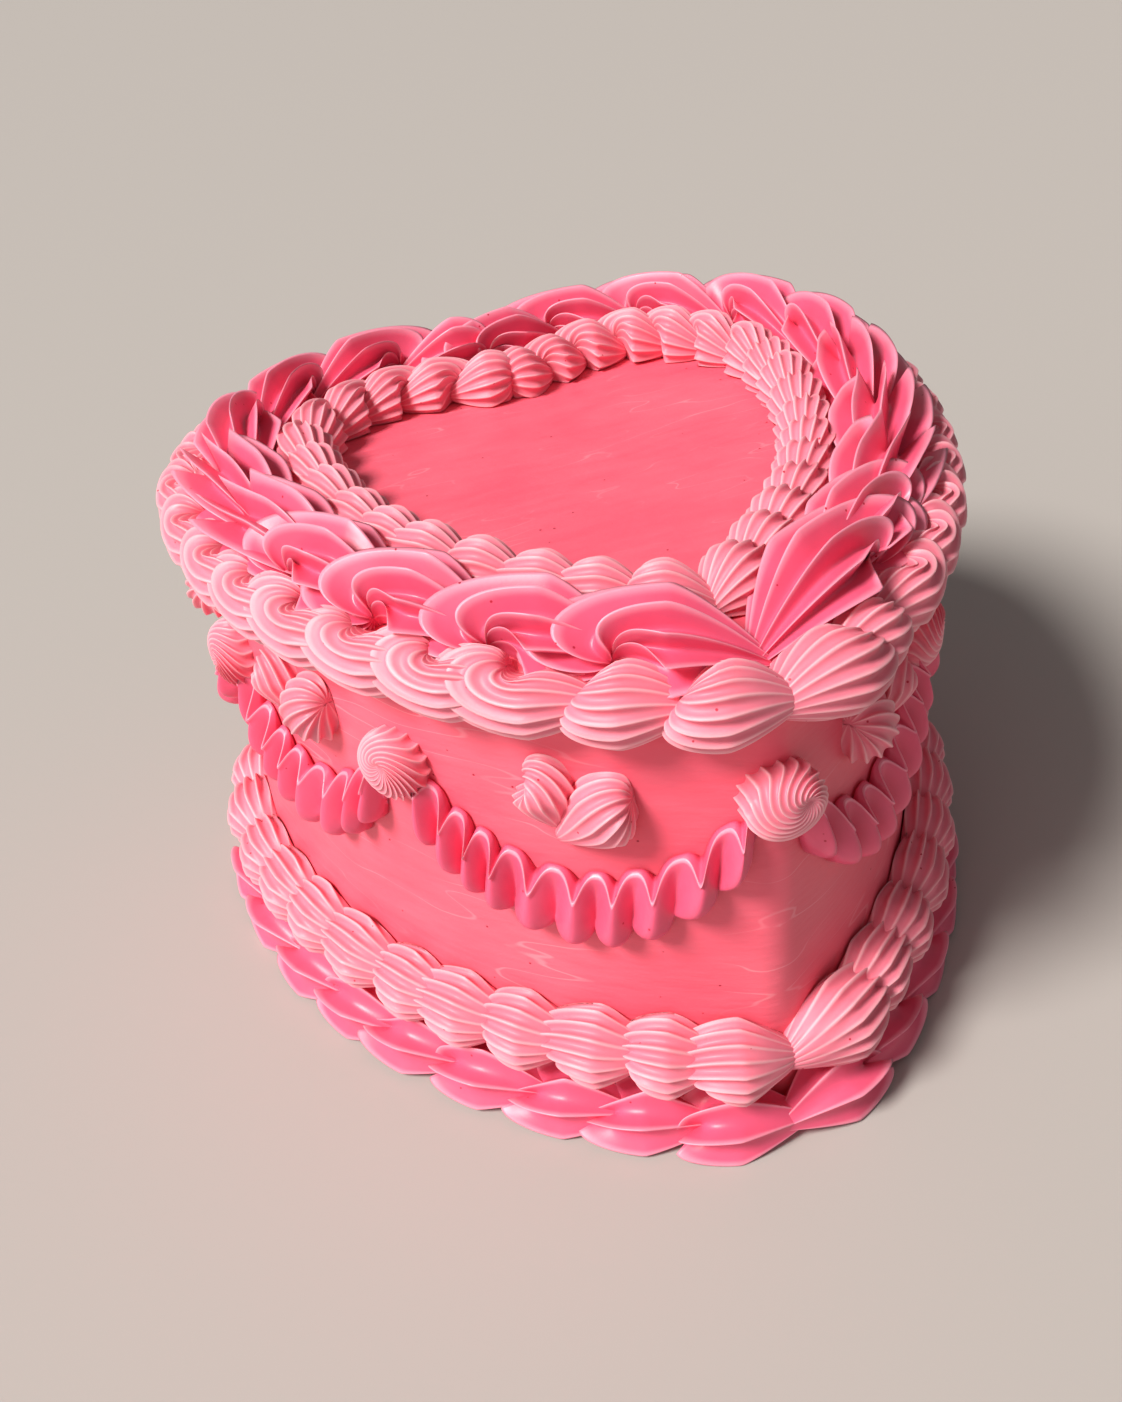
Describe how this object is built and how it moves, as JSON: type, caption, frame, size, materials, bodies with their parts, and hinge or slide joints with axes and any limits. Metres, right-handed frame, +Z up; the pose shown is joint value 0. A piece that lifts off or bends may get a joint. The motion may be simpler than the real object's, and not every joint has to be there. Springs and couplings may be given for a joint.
{
  "type": "heart shaped cake",
  "caption": "Tall heart shaped layer cake in smooth hot pink buttercream, with piped shell and ruffle borders, wavy swags, rosettes and little hearts on its sides.",
  "frame": {"origin": "middle of the cake's outer box on the plane it stands on", "axes": "+Z up; the heart's point looks towards -Y, its cleft towards +Y, and the middle line is x = 0"},
  "size_m": [0.2366, 0.242, 0.1559],
  "materials": {
    "smoothed_buttercream": "satin smoothed icing",
    "hot_pink_buttercream": "satin piped icing",
    "soft_pink_buttercream": "satin piped icing"
  },
  "bodies": {
    "root": {"base_ruffle_border": "hot_pink_buttercream", "base_shell_border": "soft_pink_buttercream", "cake_body": "smoothed_buttercream", "inner_shell_border": "soft_pink_buttercream", "top_ruffle_border": "hot_pink_buttercream", "top_shell_border": "soft_pink_buttercream", "rosette_1": "soft_pink_buttercream", "rosette_2": "soft_pink_buttercream", "rosette_3": "soft_pink_buttercream", "rosette_4": "soft_pink_buttercream", "rosette_5": "soft_pink_buttercream", "rosette_6": "soft_pink_buttercream", "rosette_7": "soft_pink_buttercream", "rosette_8": "soft_pink_buttercream", "swag_1": "hot_pink_buttercream", "swag_2": "hot_pink_buttercream", "swag_3": "hot_pink_buttercream", "swag_4": "hot_pink_buttercream", "swag_5": "hot_pink_buttercream", "swag_6": "hot_pink_buttercream", "swag_7": "hot_pink_buttercream", "swag_8": "hot_pink_buttercream", "small_heart_1a": "soft_pink_buttercream", "small_heart_1b": "soft_pink_buttercream", "small_heart_2a": "soft_pink_buttercream", "small_heart_2b": "soft_pink_buttercream", "small_heart_3a": "soft_pink_buttercream", "small_heart_3b": "soft_pink_buttercream", "small_heart_4a": "soft_pink_buttercream", "small_heart_4b": "soft_pink_buttercream", "small_heart_5a": "soft_pink_buttercream", "small_heart_5b": "soft_pink_buttercream", "small_heart_6a": "soft_pink_buttercream", "small_heart_6b": "soft_pink_buttercream", "small_heart_7a": "soft_pink_buttercream", "small_heart_7b": "soft_pink_buttercream", "small_heart_8a": "soft_pink_buttercream", "small_heart_8b": "soft_pink_buttercream"}
  },
  "joints": []
}
